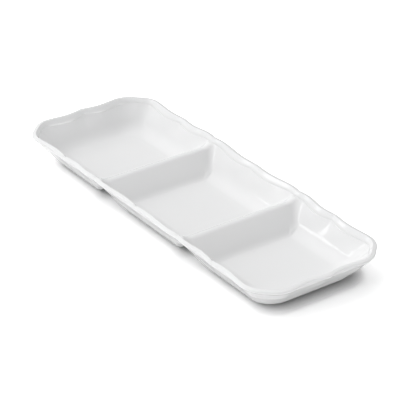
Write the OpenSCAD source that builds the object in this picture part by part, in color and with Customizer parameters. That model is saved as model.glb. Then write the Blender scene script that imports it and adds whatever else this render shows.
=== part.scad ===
// Divided serving dish: three basins under one scalloped rim, in millimetres.
// X runs along the dish, Y across it and Z up, and the dish stands on z = 0.

/* [Rim] */
// Length between the lip centre lines of the two ends
rim_length = 377; // [330:1:440]
// Width between the lip centre lines of the two long sides
rim_width = 134; // [124:1:170]
// Height of the top of the lip above the table
rim_height = 29.5; // [27:0.5:34]
// Corner radius of the lip centre line
rim_corner_radius = 29; // [22:1:34]
// Radius of the rounded lip
lip_radius = 1.3; // [1:0.1:2]
// Distance from the lip centre line in to the edge of the lip
lip_flat = 2.35; // [1.8:0.05:2.8]
// Drop of the lip from that edge out to its centre line
lip_tilt = 0.25; // [0:0.05:0.5]
// Width of the cove inside the lip
cove_width = 2.25; // [1.8:0.05:2.6]
// Slope of the cove from the horizontal, in degrees
cove_angle = 49; // [44:1:52]
// Width of the step under the cove
step_width = 0.45; // [0.3:0.05:0.6]
// Drop of the step under the cove
step_drop = 0.96; // [0.6:0.02:1.2]
// Width of the bead under the step
bead_width = 0.4; // [0.2:0.05:0.6]
// Drop from the foot of the step to the bead
bead_drop = 0.17; // [0:0.01:0.3]
// Distance from the bead in to the plain wall
bead_step = 1.35; // [1:0.05:1.6]
// Distance from the lip centre line in to the crease under the rim
crease_inset = 0.8; // [0.4:0.1:1.4]
// Rise of the rim from the two ends to the middle of the dish
rim_bow = 1; // [0:0.1:3]

/* [Scallops] */
// Height of the lobes on both sides of a notch, out from the plain outline
lobe_out = 1.6; // [0:0.1:3]
// Depth of the hollows between lobes and cusps, in from the plain outline
hollow_depth = 0.5; // [0:0.1:1.5]
// Depth of the notch at a divider below its lobes
notch_depth = 1.1; // [0:0.1:2]
// Depth of the notch at a corner below its lobes
corner_notch_depth = 1.9; // [0:0.1:3]
// Height of the cusps of the middle basin, out from the plain outline
middle_cusp_out = 0.5; // [0:0.1:2]
// Height of the cusps of the outer basins on the long sides, out from the plain outline
outer_cusp_out = 1.1; // [0:0.1:2]
// Height of the cusps of the two ends, out from the plain outline
end_cusp_out = 2.4; // [0:0.1:3]
// Distance from the notch at a divider to the top of its lobes
lobe_reach = 12; // [8:1:14]
// Distance from the notch at a corner to the top of its lobes
corner_lobe_reach = 18; // [12:1:22]
// Distance from a cusp to the hollow beside it
cusp_reach = 17; // [12:1:18]
// Distance from the middle of the dish to the cusp of an outer basin
outer_cusp = 115.5; // [112:0.5:120]
// Rise of the rim at a divider
divider_lift = 1; // [0:0.1:2]
// Distance along the rim in which that rise fades out
lift_reach = 44; // [30:1:60]
// Distance down the wall in which the scallops fade out
scallop_fade = 8; // [4:0.5:12]
// Share of the scallops that the outside of the wall follows under the lip
outer_scallop = 0.2; // [0:0.1:0.6]

/* [Walls] */
// Thickness of walls, floors and dividers
wall = 3.6; // [3:0.1:4.4]
// Slope of the long walls inside, from the horizontal, in degrees
wall_angle = 53; // [50:1:55]
// Slope of the long walls outside, which thins them towards the rim
outer_angle = 52; // [51:0.5:54]
// Drop from the top of the lip to the line of the inner wall, under the lip centre line
wall_start = -3.4; // [-4:0.1:-2.6]
// Distance that an end wall runs in further than a long wall
end_extra = 0.8; // [0:0.1:8]
// Distance that the outside leans in further at the middle of a corner, just under the rim
corner_lean = 1; // [0:0.1:2]
// Radius between walls and floor, inside
floor_fillet = 20; // [16:0.5:22]
// Distance that the flat underside runs out further than the floor inside, at the long sides
sole_extra = 9.8; // [9:0.1:10.5]
// Distance that the flat underside runs out further than the floor inside, at the ends
end_sole_extra = 8; // [7:0.1:9]
// Radius between walls and underside, outside
sole_fillet = 6; // [4:0.5:7]
// Corner radius of the floor at the two ends
floor_corner_radius = 17; // [10:1:22]
// Width of the rounding where a divider meets a long wall
inner_corner = 6; // [3:0.5:8]

/* [Dividers] */
// Distance between the two dividers
divider_spacing = 128.5; // [122:0.5:136]
// Drop from the top of the lip to the top of a divider
divider_drop = 5.2; // [4.8:0.1:7]
// Slope of the divider faces from the horizontal, in degrees
divider_angle = 45; // [42:1:55]
// Radius of the rounded ridge of a divider
crown_radius = 6; // [4:0.2:7]
// Radius between a divider and the floors beside it
divider_fillet = 10.4; // [6:0.2:12]
// Radius of the hollow under a divider
roof_radius = 12; // [8:0.5:13]

/* [Foot rings] */
// Height of the foot rings
foot_height = 1.5; // [1:0.1:3]
// Width of a foot ring
foot_width = 4; // [3:0.5:6]
// Distance from the edge of the flat underside in to a foot ring
foot_inset = 4; // [3:0.5:6]
// Corner radius of a foot ring
foot_corner_radius = 12; // [8:1:16]

/* [Hidden] */

glaze_colour = [0.95, 0.95, 0.94];
bisque_colour = [0.86, 0.83, 0.78];

half_length = rim_length / 2;
half_width = rim_width / 2;
divider_x = divider_spacing / 2;

// The inner and outer skins: height of the floor, fillets and rise of the dividers.
// The straight faces of a divider lie one wall apart, whatever the radii of its ridge.
inner_floor = foot_height + wall;
outer_floor = foot_height;
outer_divider_fillet = divider_fillet + wall;
inner_ridge = rim_height - divider_drop - inner_floor;
outer_ridge = inner_ridge + wall - wall / cos(divider_angle)
    + (crown_radius - roof_radius) * (1 / cos(divider_angle) - 1);
outer_corner = inner_corner + wall;

// Run of a long wall from the edge of the flat floor out to the lip centre line
wall_rise = rim_height - wall_start - inner_floor;
wall_run = floor_fillet * sin(wall_angle)
    + (wall_rise - floor_fillet * (1 - cos(wall_angle))) / tan(wall_angle);

// The rim ends and the basins begin at this inset from the lip centre line
cut_inset = lip_flat + cove_width + step_width + bead_width + bead_step;
cut_run = wall_run - cut_inset;

// Edge of the flat floor, over all three basins
floor_half_length = half_length - wall_run - end_extra;
floor_half_width = half_width - wall_run;

// Run of a long wall outside, from the edge of the flat underside out to the crease
crease_run = wall_run - crease_inset;
outer_reach = crease_run - sole_extra;

// Half widths of a divider: to the end of its crown, of its straight face and of its foot
crown_half = crown_radius * sin(divider_angle);
face_half = crown_half + (inner_ridge - (crown_radius + divider_fillet) * (1 - cos(divider_angle)))
    / tan(divider_angle);
foot_half = face_half + divider_fillet * sin(divider_angle);

// A place on the rim is its distance p along the lip centre line from the middle of
// a long side, negative towards -X, and the side it is on, 1 for +Y and -1 for -Y
corner_start = half_length - rim_corner_radius;
corner_length = rim_corner_radius * PI / 2;
end_start = corner_start + corner_length;
end_middle = end_start + half_width - rim_corner_radius;
corner_notch = corner_start + corner_length / 2;

// Numbers of steps along the rim and down the wall, and the least step up a divider
bay_steps = 6;
crown_steps = 2;
corner_steps = 4;
wall_steps = 9;
least_step = 0.5;

// Steps from a to b that are closer together near both
function eased(a, b, n) = [for (k = [0:n - 1]) a + (b - a) * (1 - cos(180 * k / n)) / 2];

// Runs of the rows of points down a wall, from the rim to the floor's edge
runs = [for (k = [0:wall_steps]) cut_run * (1 - k / wall_steps)];

// Half widths of a divider, from the end of its crown out to its foot, at the heights of
// those rows, so that the corner between divider and wall runs from point to point
function half_width_at(height) =
    let (bend = divider_fillet * (1 - cos(divider_angle)))
    height < bend ? foot_half - sqrt(height * (2 * divider_fillet - height))
    : face_half - (height - bend) / tan(divider_angle);
face_top = inner_ridge - crown_radius * (1 - cos(divider_angle));
face_heights = [for (k = [1:wall_steps - 1]) wall_profile(runs[k], floor_fillet, wall_angle)];
face_widths = concat([crown_half],
                     [for (h = face_heights) if (h < face_top - least_step) half_width_at(h)]);

// Columns of points that cross the dish, for the pieces on the +X side of its middle
half_bay = concat(eased(0, divider_x - foot_half, bay_steps),
                  [for (w = backwards(concat(face_widths, [foot_half]))) divider_x - w]);
crown = concat(eased(divider_x - crown_half, divider_x, crown_steps),
               eased(divider_x, divider_x + crown_half, crown_steps),
               [divider_x + crown_half]);
end_bay = concat([for (w = face_widths) divider_x + w],
                 eased(divider_x + foot_half, outer_cusp, bay_steps),
                 eased(outer_cusp, corner_start, bay_steps),
                 eased(corner_start, corner_notch, corner_steps),
                 eased(corner_notch, end_start, corner_steps),
                 eased(end_start, end_middle, bay_steps),
                 [end_middle]);

function without_last(list) = [for (k = [0:len(list) - 2]) list[k]];
function backwards(list) = [for (k = [len(list) - 1:-1:0]) list[k]];
function mirrored(list) = [for (p = backwards(list)) -p];
function without_first(list) = [for (k = [1:len(list) - 1]) list[k]];

middle_bay = concat(without_last(mirrored(half_bay)), half_bay);
far_side = concat(without_last(mirrored(end_bay)), without_last(mirrored(crown)),
                  without_last(middle_bay), without_last(crown), without_last(end_bay));

// Direction out of the rim, and points of the lip centre line and of the floor's edge
function corner_turn(q) = 90 * min(1, max(0, (q - corner_start) / corner_length));
function outward(q) = [sin(corner_turn(q)), cos(corner_turn(q))];
function along_side(q) = min(q, corner_start);
function along_end(q) = max(0, q - end_start) / (end_middle - end_start);
function rim_point(q) =
    [along_side(q), (half_width - rim_corner_radius) * (1 - along_end(q))]
    + rim_corner_radius * outward(q);
side_fixed = divider_x + foot_half;
function floor_along(q) = q < side_fixed ? q : side_fixed + (along_side(q) - side_fixed)
    * (floor_half_length - floor_corner_radius - side_fixed) / (corner_start - side_fixed);
function floor_point(q) =
    [floor_along(q), (floor_half_width - floor_corner_radius) * (1 - along_end(q))]
    + floor_corner_radius * outward(q);

// Scallop between a notch and a cusp: lobe beside the notch, hollow, then the cusp
scallop_power = 1.5;
function scallop_between(q, notch, depth, reach, cusp, cusp_height) =
    let (d = abs(q - notch), span = abs(cusp - notch), hollow = span - cusp_reach)
    d < reach ? lobe_out - depth * pow(1 - d / reach, scallop_power)
    : d < hollow ? lobe_out - (lobe_out + hollow_depth)
        * (1 - cos(180 * (d - reach) / (hollow - reach))) / 2
    : (cusp_height + hollow_depth) * pow(1 - (span - d) / cusp_reach, scallop_power)
        - hollow_depth;
function divider_scallop(q, cusp, cusp_height) =
    scallop_between(q, divider_x, notch_depth, lobe_reach, cusp, cusp_height);
function corner_scallop(q, cusp, cusp_height) =
    scallop_between(q, corner_notch, corner_notch_depth, corner_lobe_reach, cusp, cusp_height);
function scallop(q) =
    q < divider_x ? divider_scallop(q, 0, middle_cusp_out)
    : q < outer_cusp ? divider_scallop(q, outer_cusp, outer_cusp_out)
    : q < corner_notch ? corner_scallop(q, outer_cusp, outer_cusp_out)
    : corner_scallop(q, end_middle, end_cusp_out);
function lift(q) = rim_bow * (1 - pow(rim_point(q)[0] / half_length, 2))
    + divider_lift * (1 + cos(180 * min(1, abs(q - divider_x) / lift_reach))) / 2;
function fade(run) =
    let (t = max(0, 1 - (cut_run - run) / scallop_fade)) t * t * (3 - 2 * t);

// Distance that the outside leans in at a corner
function lean(q) = corner_lean * (sin(corner_turn(q)) + cos(corner_turn(q)) - 1) / (sqrt(2) - 1);

// Rise of a wall over a run out from the floor's edge, and of a divider at a distance
// from its middle: fillet, straight face and, on a divider, a rounded ridge
function wall_profile(run, fillet, angle) =
    let (bend = fillet * sin(angle))
    run < bend ? fillet - sqrt(fillet * fillet - run * run)
    : fillet * (1 - cos(angle)) + (run - bend) * tan(angle);
// Run out from the edge of the flat underside, scaled so that all the walls meet the crease
function sole_run(q) =
    sole_extra + (end_sole_extra - sole_extra) * pow(sin(corner_turn(q)), 2);
function outer_run(q, run) =
    max(0, run - sole_run(q)) * outer_reach / (crease_run - sole_run(q)) * (1 + lean(q) / cut_run);
function divider_profile(w, ridge, ridge_radius, fillet) =
    let (bend = ridge_radius * sin(divider_angle),
         foot = foot_half - fillet * sin(divider_angle))
    w < bend ? ridge - ridge_radius + sqrt(ridge_radius * ridge_radius - w * w)
    : w < foot ? ridge - ridge_radius * (1 - cos(divider_angle)) - (w - bend) * tan(divider_angle)
    : w < foot_half ? fillet - sqrt(fillet * fillet - pow(foot_half - w, 2))
    : 0;
// The higher of two slopes, rounded over a width that shrinks where either comes down to the floor
floor_rounding = 4;
function blend(a, b, width) =
    let (k = min(width, floor_rounding * min(a, b)), h = max(0, k - abs(a - b)))
    max(a, b) + (k > 0 ? h * h / (4 * k) : 0);

function inner_height(q, run) = inner_floor + lift(q) * fade(run)
    + blend(wall_profile(run, floor_fillet, wall_angle),
            divider_profile(abs(q - divider_x), inner_ridge, crown_radius, divider_fillet),
            inner_corner);
function outer_height(q, run) = outer_floor + lift(q) * fade(run)
    + blend(wall_profile(outer_run(q, run), sole_fillet, outer_angle),
            divider_profile(abs(q - divider_x), outer_ridge, roof_radius, outer_divider_fillet),
            outer_corner);

// A point in plan at a run out from the floor's edge, placed on its side of the dish
function plan_point(q, run, share) =
    let (floor_edge = floor_point(q), cut = rim_point(q) - cut_inset * outward(q))
    floor_edge + (cut - floor_edge) * run / cut_run + outward(q) * scallop(q) * share * fade(run);
function placed(p, side, xy, z) = [sign(p) * xy[0], side * xy[1], z];
function inner_point(p, side, run) =
    placed(p, side, plan_point(abs(p), run, 1), inner_height(abs(p), run));
function outer_point(p, side, run) =
    placed(p, side, plan_point(abs(p), run, outer_scallop), outer_height(abs(p), run));
function rim_section_point(p, side, inset, drop, share = 1) =
    placed(p, side, rim_point(abs(p)) + (scallop(abs(p)) * share - inset) * outward(abs(p)),
           rim_height + lift(abs(p)) - drop);

// Section of the rim as insets and drops, from the lip's underside over the lip, cove and step
// to the bead, with the angles at which the round of the lip starts and ends
lip_start = 215;
lip_end = 90;
lip_steps = 4;
edge_round = 0.4;
function on_circle(inset, drop, radius, angle) =
    [inset + radius * cos(angle), drop - radius * sin(angle)];
function lip_at(angle) = on_circle(0, lip_radius + lip_tilt, lip_radius, angle);
lip_edge = [lip_flat, 0];
lip_line = [-1, lip_tilt / lip_flat];
cove_line = [1, tan(cove_angle)];
cove_foot = lip_edge + cove_width * cove_line;
step_foot = cove_foot + [step_width, step_drop];
bead_top = step_foot + [bead_width, bead_drop];
crease_drop = rim_height - outer_floor
    - wall_profile(outer_reach, sole_fillet, outer_angle);
rim_section = concat(
    [for (k = [0:lip_steps]) lip_at(lip_start + (lip_end - lip_start) * k / lip_steps)],
    [lip_edge + edge_round * lip_line, lip_edge + edge_round * cove_line,
     cove_foot, step_foot, bead_top]);
function rim_ring(p, side) = concat(
    [outer_point(p, side, cut_run),
     rim_section_point(p, side, crease_inset + lean(abs(p)), crease_drop, outer_scallop)],
    [for (s = rim_section) rim_section_point(p, side, s[0], s[1])],
    [inner_point(p, side, cut_run)]);

function quad(a, b, c, d) = [[a, b, c], [a, c, d]];
function flat_list(lists) = [for (list = lists) each list];

// Points of one column, from the rim on the +Y side over the floor to the rim on the -Y side
column_size = 2 * len(runs);
function inner_column(p) = concat([for (r = runs) inner_point(p, 1, r)],
                                  [for (r = backwards(runs)) inner_point(p, -1, r)]);
function outer_column(p) = concat([for (r = runs) outer_point(p, 1, r)],
                                  [for (r = backwards(runs)) outer_point(p, -1, r)]);

// A closed shell over a row of columns. A row that ends at the middle of an end has its
// last column folded on itself, and its floor from one column on is a single flat face.
module shell(columns, folded = false, floor_from = 0) {
    last = len(columns) - 1;
    half = len(runs);
    skin = len(columns) * column_size;
    function at(k, r) = folded && k == last && r >= half
        ? k * column_size + column_size - 1 - r : k * column_size + r;
    // The diagonal of a patch follows the corner between wall and divider
    function divider_ahead(k) = columns[k] >= 0 && columns[k] < divider_x;
    function patch(k, r) = divider_ahead(k) == (r < half)
        ? quad(at(k + 1, r), at(k + 1, r + 1), at(k, r + 1), at(k, r))
        : quad(at(k, r), at(k + 1, r), at(k + 1, r + 1), at(k, r + 1));
    patches = flat_list([for (k = [0:last - 1], r = [0:column_size - 2])
        if (!folded || r != half - 1 || k < floor_from) patch(k, r)]);
    floor_face = folded ? [concat([for (k = [floor_from:last]) at(k, half - 1)],
                                  [for (k = [last - 1:-1:floor_from]) at(k, half)])] : [];
    top = concat(patches, floor_face);
    bottom = [for (face = top) [for (v = backwards(face)) v + skin]];
    // Edges of the top skin, in the order in which its own faces run along them
    edges = concat(
        [for (k = [0:last - 1]) [at(k, 0), at(k + 1, 0)]],
        [for (k = [0:last - 1]) [at(k + 1, column_size - 1), at(k, column_size - 1)]],
        [for (r = [0:column_size - 2]) [at(0, r + 1), at(0, r)]],
        folded ? [] : [for (r = [0:column_size - 2]) [at(last, r), at(last, r + 1)]]);
    sides = flat_list([for (e = edges) quad(e[1], e[0], e[0] + skin, e[1] + skin)]);
    polyhedron(concat(flat_list([for (p = columns) inner_column(p)]),
                      flat_list([for (p = columns) outer_column(p)])),
               concat(top, bottom, sides));
}

module scalloped_rim() {
    places = concat([for (p = concat(far_side, [end_middle])) [p, 1]],
                    [for (p = without_first(backwards(far_side))) [p, -1]]);
    loop = without_last(places);
    count = len(loop);
    size = len(rim_section) + 3;
    function at(k, j) = (k % count) * size + j % size;
    color(glaze_colour)
        polyhedron(flat_list([for (place = loop) rim_ring(place[0], place[1])]),
                   flat_list([for (k = [0:count - 1], j = [0:size - 1])
                       quad(at(k, j), at(k + 1, j), at(k + 1, j + 1), at(k, j + 1))]));
}

module middle_basin() {
    color(glaze_colour) shell(middle_bay);
}

module right_basin() {
    last_corner = len(face_widths) + 2 * bay_steps + 2 * corner_steps - 1;
    color(glaze_colour) shell(end_bay, folded = true, floor_from = last_corner);
}

module left_basin() {
    mirror([1, 0, 0]) right_basin();
}

module right_divider_ridge() {
    color(glaze_colour) shell(crown);
}

module left_divider_ridge() {
    mirror([1, 0, 0]) right_divider_ridge();
}

// A flat plate with round corners between two places along X, even about the X axis
module rounded_plate(from, to, half_across, radius) {
    for (inset = [[radius, 0], [0, radius]])
        translate([from + inset[0], -half_across + inset[1]])
            square([to - from - 2 * inset[0], 2 * (half_across - inset[1])]);
    for (x = [from + radius, to - radius], y = [-1, 1])
        translate([x, y * (half_across - radius)])
            circle(radius, $fn = 64);
}

module foot_ring(from, to) {
    half_across = floor_half_width + sole_extra - foot_inset;
    color(bisque_colour)
        linear_extrude(foot_height)
            difference() {
                rounded_plate(from, to, half_across, foot_corner_radius);
                rounded_plate(from + foot_width, to - foot_width, half_across - foot_width,
                              foot_corner_radius - foot_width);
            }
}

module middle_foot_ring() {
    reach = divider_x - foot_half - foot_inset;
    foot_ring(-reach, reach);
}

module right_foot_ring() {
    foot_ring(divider_x + foot_half + foot_inset, floor_half_length + end_sole_extra - foot_inset);
}

module left_foot_ring() {
    mirror([1, 0, 0]) right_foot_ring();
}

scalloped_rim();
left_basin();
middle_basin();
right_basin();
left_divider_ridge();
right_divider_ridge();
left_foot_ring();
middle_foot_ring();
right_foot_ring();
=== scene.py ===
"""Divided serving dish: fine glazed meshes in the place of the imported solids, studio light and camera."""

import math

import bpy
import numpy as np
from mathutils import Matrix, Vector


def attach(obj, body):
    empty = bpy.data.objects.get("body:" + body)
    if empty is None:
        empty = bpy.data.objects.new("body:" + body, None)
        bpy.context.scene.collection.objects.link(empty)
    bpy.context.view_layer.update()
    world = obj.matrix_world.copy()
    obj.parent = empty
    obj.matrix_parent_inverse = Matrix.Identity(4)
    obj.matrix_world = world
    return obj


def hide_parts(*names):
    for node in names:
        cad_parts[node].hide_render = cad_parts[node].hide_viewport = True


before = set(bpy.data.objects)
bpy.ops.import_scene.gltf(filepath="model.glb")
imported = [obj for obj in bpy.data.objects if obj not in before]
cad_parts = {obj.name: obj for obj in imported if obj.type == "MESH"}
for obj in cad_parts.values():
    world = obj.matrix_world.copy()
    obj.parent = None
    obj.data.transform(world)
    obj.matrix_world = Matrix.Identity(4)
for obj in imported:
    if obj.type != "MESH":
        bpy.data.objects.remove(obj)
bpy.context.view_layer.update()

# The dish is worked out in millimetres, and MM turns them into Blender's metres
MM = 0.001

# Rim
RIM_LENGTH = 377
RIM_WIDTH = 134
RIM_HEIGHT = 29.5
RIM_CORNER_RADIUS = 29
LIP_RADIUS = 1.3
LIP_FLAT = 2.35
LIP_TILT = 0.5
LIP_ROUND = 0.65
COVE_WIDTH = 2.25
COVE_ANGLE = math.radians(49)
COVE_ROUND = 0.55
STEP_WIDTH = 0.45
STEP_DROP = 2
BEAD_WIDTH = 0.4
BEAD_DROP = -0.87
BEAD_STEP = 1.35
BEAD_ROUND = 0.3
PLEAT_DEPTH = 0.5
PLEAT_REACH = 2.2
PETAL_DIP = 1.3
PETAL_SKEW = 1.5
CREASE_INSET = 0.8
EDGE_DROP = 3
RIM_BOW = 1

# Scallops
LOBE_OUT = 1.6
HOLLOW_DEPTH = 0.5
NOTCH_DEPTH = 1.1
CORNER_NOTCH_DEPTH = 1.9
MIDDLE_CUSP_OUT = 0.5
OUTER_CUSP_OUT = 1.1
END_CUSP_OUT = 2.4
LOBE_REACH = 12
CORNER_LOBE_REACH = 18
CUSP_REACH = 17
OUTER_CUSP = 115.5
DIVIDER_LIFT = 1
LIFT_REACH = 44
SCALLOP_FADE = 8
SCALLOP_POWER = 1.5
OUTER_SCALLOP = 0.2
CREASE_SOFTNESS = 0.5
WALL_SOFTNESS = 2.5

# Walls
WALL = 3.6
WALL_ANGLE = math.radians(53)
OUTER_ANGLE = math.radians(52)
WALL_START = -3.4
SOLE_EXTRA = 9.8
END_SOLE_EXTRA = 8
SOLE_FILLET = 6
END_EXTRA = 0.8
CORNER_LEAN = 1
FLOOR_FILLET = 20
DIVIDER_FILLET = 10.4
FLOOR_CORNER_RADIUS = 17
INNER_CORNER = 6
FLOOR_ROUNDING = 4

# Dividers
DIVIDER_SPACING = 128.5
DIVIDER_DROP = 5.2
DIVIDER_ANGLE = math.radians(45)
CROWN_RADIUS = 6
ROOF_RADIUS = 12

# Foot rings
FOOT_HEIGHT = 1.5
FOOT_WIDTH = 4
FOOT_INSET = 4
FOOT_CORNER_RADIUS = 12
FOOT_EDGE = 0.5

# Steps of the meshes: lengths along the rim, and numbers of rows in each part of a section
BAY_STEP = 1.1
FACE_STEP = 0.7
CROWN_STEPS = 12
CORNER_STEP = 1.0
END_STEP = 1.3
WALL_ROWS = 26
OUTER_ROWS = 30
LIP_ROWS = 10
BEND_ROWS = 6
UNDER_ROWS = 8
FOOT_TURN_ROWS = 17
FOOT_EDGE_ROWS = 6

# Points that are closer together than this are one
WELD = 1e-5

# Derived sizes
HALF_LENGTH = RIM_LENGTH / 2
HALF_WIDTH = RIM_WIDTH / 2
DIVIDER_X = DIVIDER_SPACING / 2
INNER_FLOOR = FOOT_HEIGHT + WALL
OUTER_FLOOR = FOOT_HEIGHT
INNER_RIDGE = RIM_HEIGHT - DIVIDER_DROP - INNER_FLOOR
FACE_SECANT = 1 / math.cos(DIVIDER_ANGLE)
OUTER_RIDGE = INNER_RIDGE + WALL - WALL * FACE_SECANT + (CROWN_RADIUS - ROOF_RADIUS) * (FACE_SECANT - 1)
OUTER_CORNER = INNER_CORNER + WALL
WALL_RUN = FLOOR_FILLET * math.sin(WALL_ANGLE) + (
    RIM_HEIGHT - WALL_START - INNER_FLOOR - FLOOR_FILLET * (1 - math.cos(WALL_ANGLE))
) / math.tan(WALL_ANGLE)
BEAD_INSET = LIP_FLAT + COVE_WIDTH + STEP_WIDTH + BEAD_WIDTH
CUT_INSET = BEAD_INSET + BEAD_STEP
CUT_RUN = WALL_RUN - CUT_INSET
FLOOR_HALF_LENGTH = HALF_LENGTH - WALL_RUN - END_EXTRA
FLOOR_HALF_WIDTH = HALF_WIDTH - WALL_RUN
CREASE_RUN = WALL_RUN - CREASE_INSET
OUTER_REACH = CREASE_RUN - SOLE_EXTRA
CROWN_HALF = CROWN_RADIUS * math.sin(DIVIDER_ANGLE)
FACE_HALF = CROWN_HALF + (
    INNER_RIDGE - (CROWN_RADIUS + DIVIDER_FILLET) * (1 - math.cos(DIVIDER_ANGLE))
) / math.tan(DIVIDER_ANGLE)
FOOT_HALF = FACE_HALF + DIVIDER_FILLET * math.sin(DIVIDER_ANGLE)
SIDE_FIXED = DIVIDER_X + FOOT_HALF
CORNER_START = HALF_LENGTH - RIM_CORNER_RADIUS
CORNER_LENGTH = RIM_CORNER_RADIUS * math.pi / 2
END_START = CORNER_START + CORNER_LENGTH
END_MIDDLE = END_START + HALF_WIDTH - RIM_CORNER_RADIUS
CORNER_NOTCH = CORNER_START + CORNER_LENGTH / 2


# Shape: q is the distance along the lip centre line from the middle of a long side, and run
# the distance out from the edge of the flat floor
def corner_turn(q):
    return math.pi / 2 * np.clip((q - CORNER_START) / CORNER_LENGTH, 0, 1)


def outward(q):
    turn = corner_turn(q)
    return np.stack([np.sin(turn), np.cos(turn)], -1)


def along_end(q):
    return np.clip(q - END_START, 0, None) / (END_MIDDLE - END_START)


def rounded_point(q, along, half_across, radius):
    centre = np.stack([along, (half_across - radius) * (1 - along_end(q))], -1)
    return centre + radius * outward(q)


def rim_point(q):
    return rounded_point(q, np.minimum(q, CORNER_START), HALF_WIDTH, RIM_CORNER_RADIUS)


def floor_point(q):
    shrink = (FLOOR_HALF_LENGTH - FLOOR_CORNER_RADIUS - SIDE_FIXED) / (CORNER_START - SIDE_FIXED)
    beyond = SIDE_FIXED + (np.minimum(q, CORNER_START) - SIDE_FIXED) * shrink
    along = np.where(q < SIDE_FIXED, q, beyond)
    return rounded_point(q, along, FLOOR_HALF_WIDTH, FLOOR_CORNER_RADIUS)


def petal(distance, reach, softness):
    """Falls from 1 at a crease, which is rounded over the softness, to 0 at the reach."""
    def far(d):
        return np.sqrt(d**2 + softness**2) - softness

    return np.clip(1 - far(distance) / far(reach), 0, 1) ** SCALLOP_POWER


def scallop_between(q, notch, depth, reach, cusp, cusp_height, softness):
    d = np.abs(q - notch)
    span = abs(cusp - notch)
    hollow = span - CUSP_REACH
    lobe = LOBE_OUT - depth * petal(d, reach, softness)
    swing = np.clip((d - reach) / (hollow - reach), 0, 1)
    slope = LOBE_OUT - (LOBE_OUT + HOLLOW_DEPTH) * (1 - np.cos(math.pi * swing)) / 2
    tip = (cusp_height + HOLLOW_DEPTH) * petal(span - d, CUSP_REACH, softness) - HOLLOW_DEPTH
    return np.where(d < reach, lobe, np.where(d < hollow, slope, tip))


def scallop(q, softness):
    divider = (DIVIDER_X, NOTCH_DEPTH, LOBE_REACH)
    corner = (CORNER_NOTCH, CORNER_NOTCH_DEPTH, CORNER_LOBE_REACH)
    parts = [
        scallop_between(q, *divider, 0, MIDDLE_CUSP_OUT, softness),
        scallop_between(q, *divider, OUTER_CUSP, OUTER_CUSP_OUT, softness),
        scallop_between(q, *corner, OUTER_CUSP, OUTER_CUSP_OUT, softness),
        scallop_between(q, *corner, END_MIDDLE, END_CUSP_OUT, softness),
    ]
    return np.select([q < DIVIDER_X, q < OUTER_CUSP, q < CORNER_NOTCH], parts[:3], parts[3])


# Notch and cusp of each bay of the rim
BAYS = [
    (DIVIDER_X, 0),
    (DIVIDER_X, OUTER_CUSP),
    (CORNER_NOTCH, OUTER_CUSP),
    (CORNER_NOTCH, END_MIDDLE),
]


def petal_dip(q):
    """Run that the bead goes down the wall between a notch and a cusp."""
    dips = []
    for notch, cusp in BAYS:
        share = np.clip((q - notch) / (cusp - notch), 0, 1)
        dips.append(PETAL_DIP * np.sin(math.pi * share**PETAL_SKEW))
    return sum(dips)


def lift(q):
    bow = RIM_BOW * (1 - (rim_point(q)[..., 0] / HALF_LENGTH) ** 2)
    near = np.minimum(1, np.abs(q - DIVIDER_X) / LIFT_REACH)
    return bow + DIVIDER_LIFT * (1 + np.cos(math.pi * near)) / 2


def fade(run):
    t = np.clip(1 - (CUT_RUN - run) / SCALLOP_FADE, 0, None)
    return t * t * (3 - 2 * t)


def lean(q):
    turn = corner_turn(q)
    return CORNER_LEAN * (np.sin(turn) + np.cos(turn) - 1) / (math.sqrt(2) - 1)


def circle_rise(reach, radius):
    return radius - np.sqrt(np.clip(radius * radius - reach * reach, 0, None))


def wall_profile(run, fillet, angle):
    bend = fillet * math.sin(angle)
    straight = fillet * (1 - math.cos(angle)) + (run - bend) * math.tan(angle)
    return np.where(run < bend, circle_rise(run, fillet), straight)


def divider_profile(w, ridge, radius, fillet):
    bend = radius * math.sin(DIVIDER_ANGLE)
    foot = FOOT_HALF - fillet * math.sin(DIVIDER_ANGLE)
    crown = ridge - circle_rise(w, radius)
    face = ridge - radius * (1 - math.cos(DIVIDER_ANGLE)) - (w - bend) * math.tan(DIVIDER_ANGLE)
    toe = circle_rise(FOOT_HALF - w, fillet)
    return np.select([w < bend, w < foot, w < FOOT_HALF], [crown, face, toe], 0)


def blend(a, b, width):
    k = np.minimum(width, FLOOR_ROUNDING * np.minimum(a, b))
    h = np.clip(k - np.abs(a - b), 0, None)
    return np.maximum(a, b) + np.where(k > 0, h * h / (4 * np.where(k > 0, k, 1)), 0)


def outer_run(q, run):
    """Run out from the edge of the flat underside, scaled so that all the walls meet the crease."""
    sole_run = SOLE_EXTRA + (END_SOLE_EXTRA - SOLE_EXTRA) * np.sin(corner_turn(q)) ** 2
    reach = np.clip(run - sole_run, 0, None) * OUTER_REACH / (CREASE_RUN - sole_run)
    return reach * (1 + lean(q) / CUT_RUN)


def inner_height(q, run):
    wall = wall_profile(run, FLOOR_FILLET, WALL_ANGLE)
    divider = divider_profile(np.abs(q - DIVIDER_X), INNER_RIDGE, CROWN_RADIUS, DIVIDER_FILLET)
    return INNER_FLOOR + lift(q) * fade(run) + blend(wall, divider, INNER_CORNER)


def outer_height(q, run):
    wall = wall_profile(outer_run(q, run), SOLE_FILLET, OUTER_ANGLE)
    divider = divider_profile(np.abs(q - DIVIDER_X), OUTER_RIDGE, ROOF_RADIUS, DIVIDER_FILLET + WALL)
    return OUTER_FLOOR + lift(q) * fade(run) + blend(wall, divider, OUTER_CORNER)


def plan_point(q, run, share):
    floor_edge = floor_point(q)
    cut = rim_point(q) - CUT_INSET * outward(q)
    out = outward(q) * (scallop(q, WALL_SOFTNESS) * share * fade(run))[..., None]
    return floor_edge + (cut - floor_edge) * (run / CUT_RUN)[..., None] + out


# A place on the rim is a signed q and a side, 1 for +Y and -1 for -Y
def placed(p, side, xy, z):
    return np.stack([np.sign(p) * xy[..., 0], side * xy[..., 1], z], -1)


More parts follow.
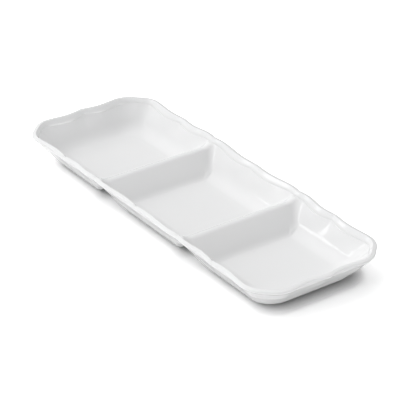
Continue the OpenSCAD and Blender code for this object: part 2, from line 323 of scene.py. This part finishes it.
def skin_grid(p, side, runs, height):
    """Points of a skin: one row for each run, one column for each place."""
    q, run = np.meshgrid(np.abs(p), runs)
    signed = np.broadcast_to(p, q.shape)
    share = OUTER_SCALLOP
    if height is inner_height:
        share = 1
        run = run * (1 - petal_dip(q) / CUT_RUN)
    return placed(signed, np.broadcast_to(side, q.shape), plan_point(q, run, share), height(q, run))


def floor_grid(p, shares, height):
    """Points of a floor: one row for each share of its half width, one column for each place."""
    q, share = np.meshgrid(np.abs(p), shares)
    edge = floor_point(q)
    x = np.sign(np.broadcast_to(p, q.shape)) * edge[..., 0]
    return np.stack([x, share * edge[..., 1], height(q, np.zeros_like(q))], -1)


# Section of the rim as insets from the lip centre line and drops from its top
def on_circle(inset, drop, radius, angles):
    turn = np.radians(angles)
    return np.stack([inset + radius * np.cos(turn), drop - radius * np.sin(turn)], -1)


# Angles of the lip's circle, in degrees
LIP_OUTERMOST = 180
LIP_TOP = 90


def bent(start, corner, end, t):
    """Points of a curve that leaves start towards corner and comes to end from corner."""
    return start * (1 - t) ** 2 + corner * 2 * t * (1 - t) + end * t**2


def rounded(corners):
    """Points of a smooth curve that touches the middle of every side between the corners."""
    middles = (corners[:-1] + corners[1:]) / 2
    stops = np.concatenate([corners[:1], middles[1:-1], corners[-1:]])
    t = np.linspace(0, 1, BEND_ROWS + 1)[1:, None]
    bends = [bent(a, corner, b, t) for a, corner, b in zip(stops[:-1], corners[1:-1], stops[1:])]
    return np.concatenate([corners[:1], *bends])


def rim_section():
    """Insets, drops, depths of the pleats and shares of the dip, from the bead to the outermost lip."""
    lip = on_circle(0, LIP_RADIUS + LIP_TILT, LIP_RADIUS, np.linspace(LIP_TOP, LIP_OUTERMOST, LIP_ROWS))
    edge = np.array([LIP_FLAT, 0])
    cove_line = np.array([1, math.tan(COVE_ANGLE)])
    cove_foot = edge + COVE_WIDTH * cove_line
    step_foot = cove_foot + [STEP_WIDTH, STEP_DROP]
    bead = step_foot + [BEAD_WIDTH, BEAD_DROP]
    wall_inset = BEAD_INSET + BEAD_ROUND
    band = rounded(np.array([
        [wall_inset, WALL_START + wall_inset * math.tan(WALL_ANGLE)],
        bead,
        step_foot,
        cove_foot,
        edge + COVE_ROUND * cove_line,
        edge,
        edge + LIP_ROUND * np.array([-1, LIP_TILT / LIP_FLAT]),
        lip[0],
    ]))
    section = np.concatenate([band, lip[1:]])
    inward = np.clip(section[:, :1] / BEAD_INSET, 0, 1)
    pleat = PLEAT_DEPTH * np.sin(math.pi * inward)
    dip = np.clip((section[:, :1] - LIP_FLAT) / (BEAD_INSET - LIP_FLAT), 0, 1)
    return np.concatenate([section, pleat, dip], 1)


def pleats(q):
    """Share of the pleats that cross the band at the notches and cusps of the long sides."""
    places = (0, DIVIDER_X, OUTER_CUSP)
    return sum(np.exp(-(((q - place) / PLEAT_REACH) ** 2)) for place in places)


CREASE_DROP = RIM_HEIGHT - OUTER_FLOOR - float(wall_profile(OUTER_REACH, SOLE_FILLET, OUTER_ANGLE))


def rim_grid(p, side):
    """Points of the rim's skin, from the inner wall over the lip to the outer wall."""
    q = np.abs(p)
    base = rim_point(q)
    out = outward(q)
    top = RIM_HEIGHT + lift(q)

    def row(inset, drop, share=1):
        wave = scallop(q, CREASE_SOFTNESS if share == 1 else WALL_SOFTNESS)
        return placed(p, side, base + (wave * share - inset)[:, None] * out, top - drop)

    inner = skin_grid(p, side, np.array([CUT_RUN]), inner_height)[0]
    outer = skin_grid(p, side, np.array([CUT_RUN]), outer_height)[0]
    dip = petal_dip(q)
    fall = math.tan(WALL_ANGLE) * dip
    rows = [inner]
    for inset, drop, pleat, share in rim_section():
        rows.append(row(inset + share * dip, drop + pleat * pleats(q) + share * fall))
    crease = row(CREASE_INSET + lean(q), np.full_like(q, CREASE_DROP), OUTER_SCALLOP)
    outermost = rows[-1]
    edge = row(-LIP_RADIUS, np.full_like(q, EDGE_DROP))
    for k in range(1, UNDER_ROWS + 1):
        rows.append(bent(outermost, edge, crease, k / UNDER_ROWS))
    rows.append(outer)
    return np.stack(rows)


# Columns along the rim
def stretch(a, b, step):
    return np.linspace(a, b, max(2, math.ceil((b - a) / step)) + 1)


def joined(*lists):
    parts = [part[:-1] for part in lists[:-1]] + [lists[-1]]
    return np.concatenate(parts)


HALF_BAY = joined(
    stretch(0, DIVIDER_X - FOOT_HALF, BAY_STEP),
    stretch(DIVIDER_X - FOOT_HALF, DIVIDER_X - CROWN_HALF, FACE_STEP),
)
CROWN = np.linspace(DIVIDER_X - CROWN_HALF, DIVIDER_X + CROWN_HALF, 2 * CROWN_STEPS + 1)
END_SIDE = joined(
    stretch(DIVIDER_X + CROWN_HALF, SIDE_FIXED, FACE_STEP),
    stretch(SIDE_FIXED, OUTER_CUSP, BAY_STEP),
    stretch(OUTER_CUSP, CORNER_START, BAY_STEP),
    stretch(CORNER_START, CORNER_NOTCH, CORNER_STEP),
    stretch(CORNER_NOTCH, END_START, CORNER_STEP),
)
END_ROW = stretch(END_START, END_MIDDLE, END_STEP)
END_BAY = joined(END_SIDE, END_ROW)
MIDDLE_BAY = joined(-HALF_BAY[::-1], HALF_BAY)
HALF_SHARES = 1 - along_end(END_ROW)
FLOOR_SHARES = joined(HALF_SHARES, -HALF_SHARES[::-1])
WALL_RUNS = CUT_RUN * np.linspace(1, 0, WALL_ROWS + 1)
OUTER_RUNS = CUT_RUN * np.linspace(1, 0, OUTER_ROWS + 1)

# Row of the inner wall that a cut joins to each row of the outer wall
FACING_ROWS = np.round(np.linspace(0, WALL_ROWS, OUTER_ROWS + 1)).astype(int)


class Patchwork:
    """Grids of points that are welded into one closed mesh, some of them skin and some of them cuts."""

    def __init__(self):
        self.points = []
        self.quads = []
        self.skin = []
        self.count = 0

    def add(self, grid, skin, flip=False):
        rows, columns = grid.shape[:2]
        index = self.count + np.arange(rows * columns).reshape(rows, columns)
        corners = [index[:-1, :-1], index[1:, :-1], index[1:, 1:], index[:-1, 1:]]
        if flip:
            corners.reverse()
        quads = np.stack(corners, -1).reshape(-1, 4)
        self.points.append(grid.reshape(-1, 3))
        self.quads.append(quads)
        self.skin.append(np.full(len(quads), skin))
        self.count += rows * columns

    def welded(self):
        points = np.concatenate(self.points)
        keys = np.round(points / WELD).astype(np.int64)
        _, first, inverse = np.unique(keys, axis=0, return_index=True, return_inverse=True)
        quads = inverse.reshape(-1)[np.concatenate(self.quads)]
        skin = np.concatenate(self.skin)
        ahead = np.roll(quads, -1, axis=1)
        sides = (quads != ahead).sum(1)
        keep = sides >= 3
        return points[first], quads[keep], skin[keep]


def basin(p, ends):
    """Closed shell over a row of places; ends says which of its two ends are cut by a divider."""
    shell = Patchwork()
    floor_places = p[np.abs(p) <= END_START + WELD]
    for side in (1, -1):
        sides = np.full(len(p), side)
        upper = skin_grid(p, sides, WALL_RUNS, inner_height)
        lower = skin_grid(p, sides, OUTER_RUNS, outer_height)
        shell.add(upper, True, flip=side < 0)
        shell.add(lower, True, flip=side > 0)
        shell.add(np.stack([lower[0], upper[0]]), False, flip=side < 0)
    shell.add(floor_grid(floor_places, FLOOR_SHARES, inner_height), True)
    shell.add(floor_grid(floor_places, FLOOR_SHARES, outer_height), True, flip=True)
    for end, flip in ((0, False), (-1, True)):
        if ends[end]:
            shell_cut(shell, p[[end]], flip)
    return shell


def across(p, runs, height):
    """Points of one column, from the rim on the +Y side over the floor to the rim on the -Y side."""
    plus = skin_grid(p, np.array([1]), runs, height)[:, 0]
    floor = floor_grid(p, FLOOR_SHARES, height)[:, 0]
    minus = skin_grid(p, np.array([-1]), runs, height)[::-1, 0]
    return np.concatenate([plus, floor[1:-1], minus])


def shell_cut(shell, p, flip):
    """Adds the face of a cut, which meets every row of both skins."""
    upper = across(p, WALL_RUNS[FACING_ROWS], inner_height)
    lower = across(p, OUTER_RUNS, outer_height)
    shell.add(np.stack([lower, upper], 1), False, flip=flip)


def rim():
    """Closed ring all round the dish."""
    ring = Patchwork()
    half = joined(HALF_BAY, CROWN, END_BAY)
    loop = joined(-half[::-1], half)
    for side in (1, -1):
        grid = rim_grid(loop, np.full(len(loop), side))
        ring.add(grid, True, flip=side > 0)
        ring.add(np.stack([grid[-1], grid[0]]), False, flip=side > 0)
    return ring


def foot_ring(start, stop):
    """Closed ring of a rounded section along a rounded oblong."""
    half_across = FLOOR_HALF_WIDTH + SOLE_EXTRA - FOOT_INSET
    turns = np.radians(np.linspace(0, 90, FOOT_TURN_ROWS))
    centres = []
    normals = []
    for quarter, (sign_x, sign_y) in enumerate([(1, 1), (-1, 1), (-1, -1), (1, -1)]):
        end = stop if sign_x > 0 else start
        corner = [end - sign_x * FOOT_CORNER_RADIUS, sign_y * (half_across - FOOT_CORNER_RADIUS)]
        angles = turns + quarter * math.pi / 2
        normals.append(np.stack([np.cos(angles), np.sin(angles)], -1))
        centres.append(np.broadcast_to(corner, normals[-1].shape))
    centre = np.concatenate([*centres, centres[0][:1]])
    normal = np.concatenate([*normals, normals[0][:1]])

    bend = np.radians(np.linspace(0, 90, FOOT_EDGE_ROWS))
    by_sine = FOOT_EDGE * (1 - np.sin(bend))
    by_cosine = FOOT_EDGE * (1 - np.cos(bend))
    inner_radius = FOOT_CORNER_RADIUS - FOOT_WIDTH
    outer_edge = np.stack([FOOT_CORNER_RADIUS - by_cosine, by_sine], -1)
    inner_edge = np.stack([inner_radius + by_sine, by_cosine], -1)
    top_outer = np.array([[FOOT_CORNER_RADIUS, FOOT_HEIGHT]])
    top_inner = np.array([[inner_radius, FOOT_HEIGHT]])
    section = np.concatenate([top_outer, outer_edge, inner_edge, top_inner])
    rows = []
    for radius, height in section:
        rows.append(np.concatenate([centre + normal * radius, np.full((len(centre), 1), height)], 1))
    grid = np.stack(rows)
    ring = Patchwork()
    ring.add(grid, True)
    ring.add(np.stack([grid[-1], grid[0]]), False)
    return ring


# Pieces: name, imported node, mesh and material slot
FOOT_REACH = DIVIDER_X - FOOT_HALF - FOOT_INSET
FOOT_FROM = DIVIDER_X + FOOT_HALF + FOOT_INSET
FOOT_TO = FLOOR_HALF_LENGTH + END_SOLE_EXTRA - FOOT_INSET
PIECES = [
    ("rim_band", "scalloped_rim", rim(), "glaze"),
    ("middle_dish", "middle_basin", basin(MIDDLE_BAY, {0: True, -1: True}), "glaze"),
    ("right_dish", "right_basin", basin(END_BAY, {0: True, -1: False}), "glaze"),
    ("left_dish", "left_basin", basin(-END_BAY[::-1], {0: False, -1: True}), "glaze"),
    ("right_ridge", "right_divider_ridge", basin(CROWN, {0: True, -1: True}), "glaze"),
    ("left_ridge", "left_divider_ridge", basin(-CROWN[::-1], {0: True, -1: True}), "glaze"),
    ("middle_foot", "middle_foot_ring", foot_ring(-FOOT_REACH, FOOT_REACH), "bisque"),
    ("right_foot", "right_foot_ring", foot_ring(FOOT_FROM, FOOT_TO), "bisque"),
    ("left_foot", "left_foot_ring", foot_ring(-FOOT_TO, -FOOT_FROM), "bisque"),
]


def face_normals(points, quads):
    diagonal_a = points[quads[:, 2]] - points[quads[:, 0]]
    diagonal_b = points[quads[:, 3]] - points[quads[:, 1]]
    return np.cross(diagonal_a, diagonal_b)


def shared_normals(meshes):
    """Normals of every skin vertex, averaged over the skins of all the pieces that meet there."""
    points = np.concatenate([m[0][m[1]].reshape(-1, 3) for m in meshes])
    skins = [face_normals(m[0], m[1]) * m[2][:, None] for m in meshes]
    normals = np.concatenate([np.repeat(skin, 4, axis=0) for skin in skins])
    keys = np.round(points / WELD).astype(np.int64)
    _, inverse = np.unique(keys, axis=0, return_inverse=True)
    inverse = inverse.reshape(-1)
    total = np.zeros((inverse.max() + 1, 3))
    np.add.at(total, inverse, normals)
    corner = total[inverse]
    result = []
    start = 0
    for piece_points, quads, skin in meshes:
        part = corner[start:start + 4 * len(quads)].reshape(-1, 4, 3)
        flat = face_normals(piece_points, quads)[:, None, :]
        part = np.where(skin[:, None, None], part, flat)
        part = part / np.linalg.norm(part, axis=-1, keepdims=True)
        result.append(part)
        start += 4 * len(quads)
    return result


def mesh_object(name, points, quads, normals, material):
    mesh = bpy.data.meshes.new(name)
    faces = []
    corner_normals = []
    for quad, normal in zip(quads.tolist(), normals.tolist()):
        kept = [k for k in range(4) if quad[k] != quad[k - 1]]
        faces.append([quad[k] for k in kept])
        corner_normals.extend(normal[k] for k in kept)
    mesh.from_pydata((points * MM).tolist(), [], faces)
    mesh.update()
    mesh.polygons.foreach_set("use_smooth", [True] * len(mesh.polygons))
    mesh.normals_split_custom_set(corner_normals)
    mesh.materials.append(material)
    made = bpy.data.objects.new(name, mesh)
    bpy.context.scene.collection.objects.link(made)
    return made


# Materials: noise scales are repeats in a metre, and heights of bumps are metres
TINT_FROM = 0.3
TINT_TO = 0.7


def new_material(name):
    material = bpy.data.materials.new(name)
    material.use_nodes = True
    tree = material.node_tree
    return material, tree, tree.nodes["Principled BSDF"]


def noise(tree, scale, detail):
    coordinates = tree.nodes.new("ShaderNodeTexCoord")
    texture = tree.nodes.new("ShaderNodeTexNoise")
    texture.inputs["Scale"].default_value = scale
    texture.inputs["Detail"].default_value = detail
    tree.links.new(coordinates.outputs["Object"], texture.inputs["Vector"])
    return texture


def colour_ramp(tree, factor, low, high):
    ramp = tree.nodes.new("ShaderNodeValToRGB")
    ramp.color_ramp.elements[0].color = (*low, 1)
    ramp.color_ramp.elements[1].color = (*high, 1)
    ramp.color_ramp.elements[0].position = TINT_FROM
    ramp.color_ramp.elements[1].position = TINT_TO
    tree.links.new(factor, ramp.inputs["Fac"])
    return ramp


def bump(tree, shader, height, distance, strength):
    node = tree.nodes.new("ShaderNodeBump")
    node.inputs["Distance"].default_value = distance
    node.inputs["Strength"].default_value = strength
    tree.links.new(height, node.inputs["Height"])
    tree.links.new(node.outputs["Normal"], shader.inputs["Normal"])


def glaze_material():
    material, tree, shader = new_material("white_glaze")
    clouds = noise(tree, scale=18, detail=2).outputs["Fac"]
    tint = colour_ramp(tree, clouds, low=(0.885, 0.888, 0.892), high=(0.898, 0.9, 0.902))
    tree.links.new(tint.outputs["Color"], shader.inputs["Base Color"])
    shader.inputs["Roughness"].default_value = 0.08
    shader.inputs["IOR"].default_value = 1.5
    ripples = noise(tree, scale=60, detail=1).outputs["Fac"]
    bump(tree, shader, ripples, distance=0.0001, strength=0.3)
    return material


def bisque_material():
    material, tree, shader = new_material("bare_bisque")
    specks = noise(tree, scale=900, detail=4).outputs["Fac"]
    tint = colour_ramp(tree, specks, low=(0.62, 0.57, 0.5), high=(0.72, 0.68, 0.6))
    tree.links.new(tint.outputs["Color"], shader.inputs["Base Color"])
    shader.inputs["Roughness"].default_value = 0.85
    grain = noise(tree, scale=2500, detail=3).outputs["Fac"]
    bump(tree, shader, grain, distance=0.0003, strength=0.4)
    return material


def make_dish():
    materials = {"glaze": glaze_material(), "bisque": bisque_material()}
    welded = [piece[2].welded() for piece in PIECES]
    glazed = [m for m, piece in zip(welded, PIECES) if piece[3] == "glaze"]
    bare = [m for m, piece in zip(welded, PIECES) if piece[3] == "bisque"]
    normals = shared_normals(glazed) + shared_normals(bare)
    for (name, node, _, slot), (points, quads, _), corner_normals in zip(PIECES, welded, normals):
        made = mesh_object(name, points, quads, corner_normals, materials[slot])
        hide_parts(node)
        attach(made, "root")


# Stage
def toward(azimuth, elevation):
    """Unit direction, with the azimuth measured from +X towards +Y."""
    a = math.radians(azimuth)
    e = math.radians(elevation)
    return Vector((math.cos(a) * math.cos(e), math.sin(a) * math.cos(e), math.sin(e)))


# Floor: its side, its shade as light sees it, the white that the camera sees and the share of that
# white that reflections see, then how far, how deep and away from which side its painted contact shadow
# lies
FLOOR_SIDE = 40
FLOOR_SHADE = 0.98
FLOOR_WHITE = 1.5
FLOOR_MIRRORED = 0.2
SHADOW_REACH = 0.013
SHADOW_DEPTH = 0.9
SHADOW_SIDE = toward(-132, 32)

# Room: glow all round, and its brighter sides with direction, focus and glow
ROOM_GLOW = 0.2
BRIGHT_SIDES = [
    (toward(0, 90), 2, 0.42),
    (toward(-170, 45), 4, 1.5),
    (toward(-100, 6), 9, 1.7),
    (toward(15, 2), 24, 4.6),
]

# Softboxes: name, place, width and height, and power in watts
SOFTBOXES = [
    ("key", Vector((-0.399, -0.351, 0.358)), (0.13, 0.1), 0.12),
    ("fill", Vector((0.305, -0.679, 0.854)), (0.12, 0.3), 0.6),
]


def make_floor():
    """Pale sheet under the dish, white to the camera outside a painted contact shadow and in part to
    reflections.
    """
    material, tree, shader = new_material("pale_floor")
    shader.inputs["Roughness"].default_value = 0.9
    rays = tree.nodes.new("ShaderNodeLightPath")
    shown = tree.nodes.new("ShaderNodeMath")
    shown.operation = "MULTIPLY_ADD"
    shown.inputs[1].default_value = FLOOR_MIRRORED
    paint = tree.nodes.new("ShaderNodeMix")
    paint.data_type = "RGBA"
    paint.inputs["A"].default_value = (*[FLOOR_SHADE] * 3, 1)
    # Painted shadow: ambient occlusion, taken about SHADOW_SIDE, darkens the floor's white near the dish
    openness = tree.nodes.new("ShaderNodeAmbientOcclusion")
    openness.inputs["Distance"].default_value = SHADOW_REACH
    side = tree.nodes.new("ShaderNodeCombineXYZ")
    for axis, value in zip("XYZ", SHADOW_SIDE):
        side.inputs[axis].default_value = value
    tree.links.new(side.outputs["Vector"], openness.inputs["Normal"])
    deepen = tree.nodes.new("ShaderNodeMath")
    deepen.operation = "POWER"
    deepen.inputs[1].default_value = SHADOW_DEPTH
    seen = tree.nodes.new("ShaderNodeMath")
    seen.operation = "MULTIPLY"
    seen.inputs[1].default_value = FLOOR_WHITE
    tree.links.new(openness.outputs["AO"], deepen.inputs[0])
    tree.links.new(deepen.outputs["Value"], seen.inputs[0])
    tree.links.new(seen.outputs["Value"], paint.inputs["B"])
    tree.links.new(rays.outputs["Is Glossy Ray"], shown.inputs[0])
    tree.links.new(rays.outputs["Is Camera Ray"], shown.inputs[2])
    tree.links.new(shown.outputs["Value"], paint.inputs["Factor"])
    tree.links.new(paint.outputs["Result"], shader.inputs["Base Color"])
    mesh = bpy.data.meshes.new("floor")
    half = FLOOR_SIDE / 2
    corners = [(-half, -half, 0), (half, -half, 0), (half, half, 0), (-half, half, 0)]
    mesh.from_pydata(corners, [], [(0, 1, 2, 3)])
    mesh.materials.append(material)
    made = bpy.data.objects.new("floor", mesh)
    bpy.context.scene.collection.objects.link(made)


def make_world():
    """Pale surroundings with brighter sides."""
    world = bpy.data.worlds.new("studio")
    world.use_nodes = True
    bpy.context.scene.world = world
    tree = world.node_tree
    coordinates = tree.nodes.new("ShaderNodeTexCoord")
    total = tree.nodes.new("ShaderNodeValue").outputs["Value"]
    total.default_value = ROOM_GLOW
    for direction, focus, glow in BRIGHT_SIDES:
        facing = tree.nodes.new("ShaderNodeVectorMath")
        facing.operation = "DOT_PRODUCT"
        facing.inputs[1].default_value = direction
        lobe = [tree.nodes.new("ShaderNodeMath") for _ in range(3)]
        for node, operation in zip(lobe, ("MAXIMUM", "POWER", "MULTIPLY_ADD")):
            node.operation = operation
        lobe[0].inputs[1].default_value = 0
        lobe[1].inputs[1].default_value = focus
        lobe[2].inputs[1].default_value = glow
        tree.links.new(coordinates.outputs["Generated"], facing.inputs[0])
        tree.links.new(facing.outputs["Value"], lobe[0].inputs[0])
        tree.links.new(lobe[0].outputs["Value"], lobe[1].inputs[0])
        tree.links.new(lobe[1].outputs["Value"], lobe[2].inputs[0])
        tree.links.new(total, lobe[2].inputs[2])
        total = lobe[2].outputs["Value"]
    background = tree.nodes["Background"]
    background.inputs["Color"].default_value = (1, 1, 1, 1)
    tree.links.new(total, background.inputs["Strength"])


def softbox(name, place, size, power):
    """Rectangular light that faces the dish, with its first side level."""
    lamp = bpy.data.lights.new(name, "AREA")
    lamp.shape = "RECTANGLE"
    lamp.size, lamp.size_y = size
    lamp.energy = power
    made = bpy.data.objects.new(name, lamp)
    made.location = place
    made.rotation_euler = place.to_track_quat("Z", "Y").to_euler()
    bpy.context.scene.collection.objects.link(made)


# Camera, from the fit of its azimuth, elevation and lens to the photograph
CAMERA_AZIMUTH = math.radians(54.507)
CAMERA_ELEVATION = math.radians(28.94)
CAMERA_TARGET = Vector((0.16481, -0.113217, 0.125067))
CAMERA_DISTANCE = 1.6
CAMERA_LENS = 182.8


def make_camera():
    data = bpy.data.cameras.new("camera")
    data.lens = CAMERA_LENS
    made = bpy.data.objects.new("camera", data)
    level = math.cos(CAMERA_ELEVATION)
    back = Vector((
        math.sin(CAMERA_AZIMUTH) * level,
        -math.cos(CAMERA_AZIMUTH) * level,
        math.sin(CAMERA_ELEVATION),
    ))
    made.location = CAMERA_TARGET + back * CAMERA_DISTANCE
    made.rotation_euler = back.to_track_quat("Z", "Y").to_euler()
    bpy.context.scene.collection.objects.link(made)
    bpy.context.scene.camera = made


make_dish()
make_floor()
make_world()
for softbox_values in SOFTBOXES:
    softbox(*softbox_values)
make_camera()
bpy.context.scene.view_settings.view_transform = "Standard"
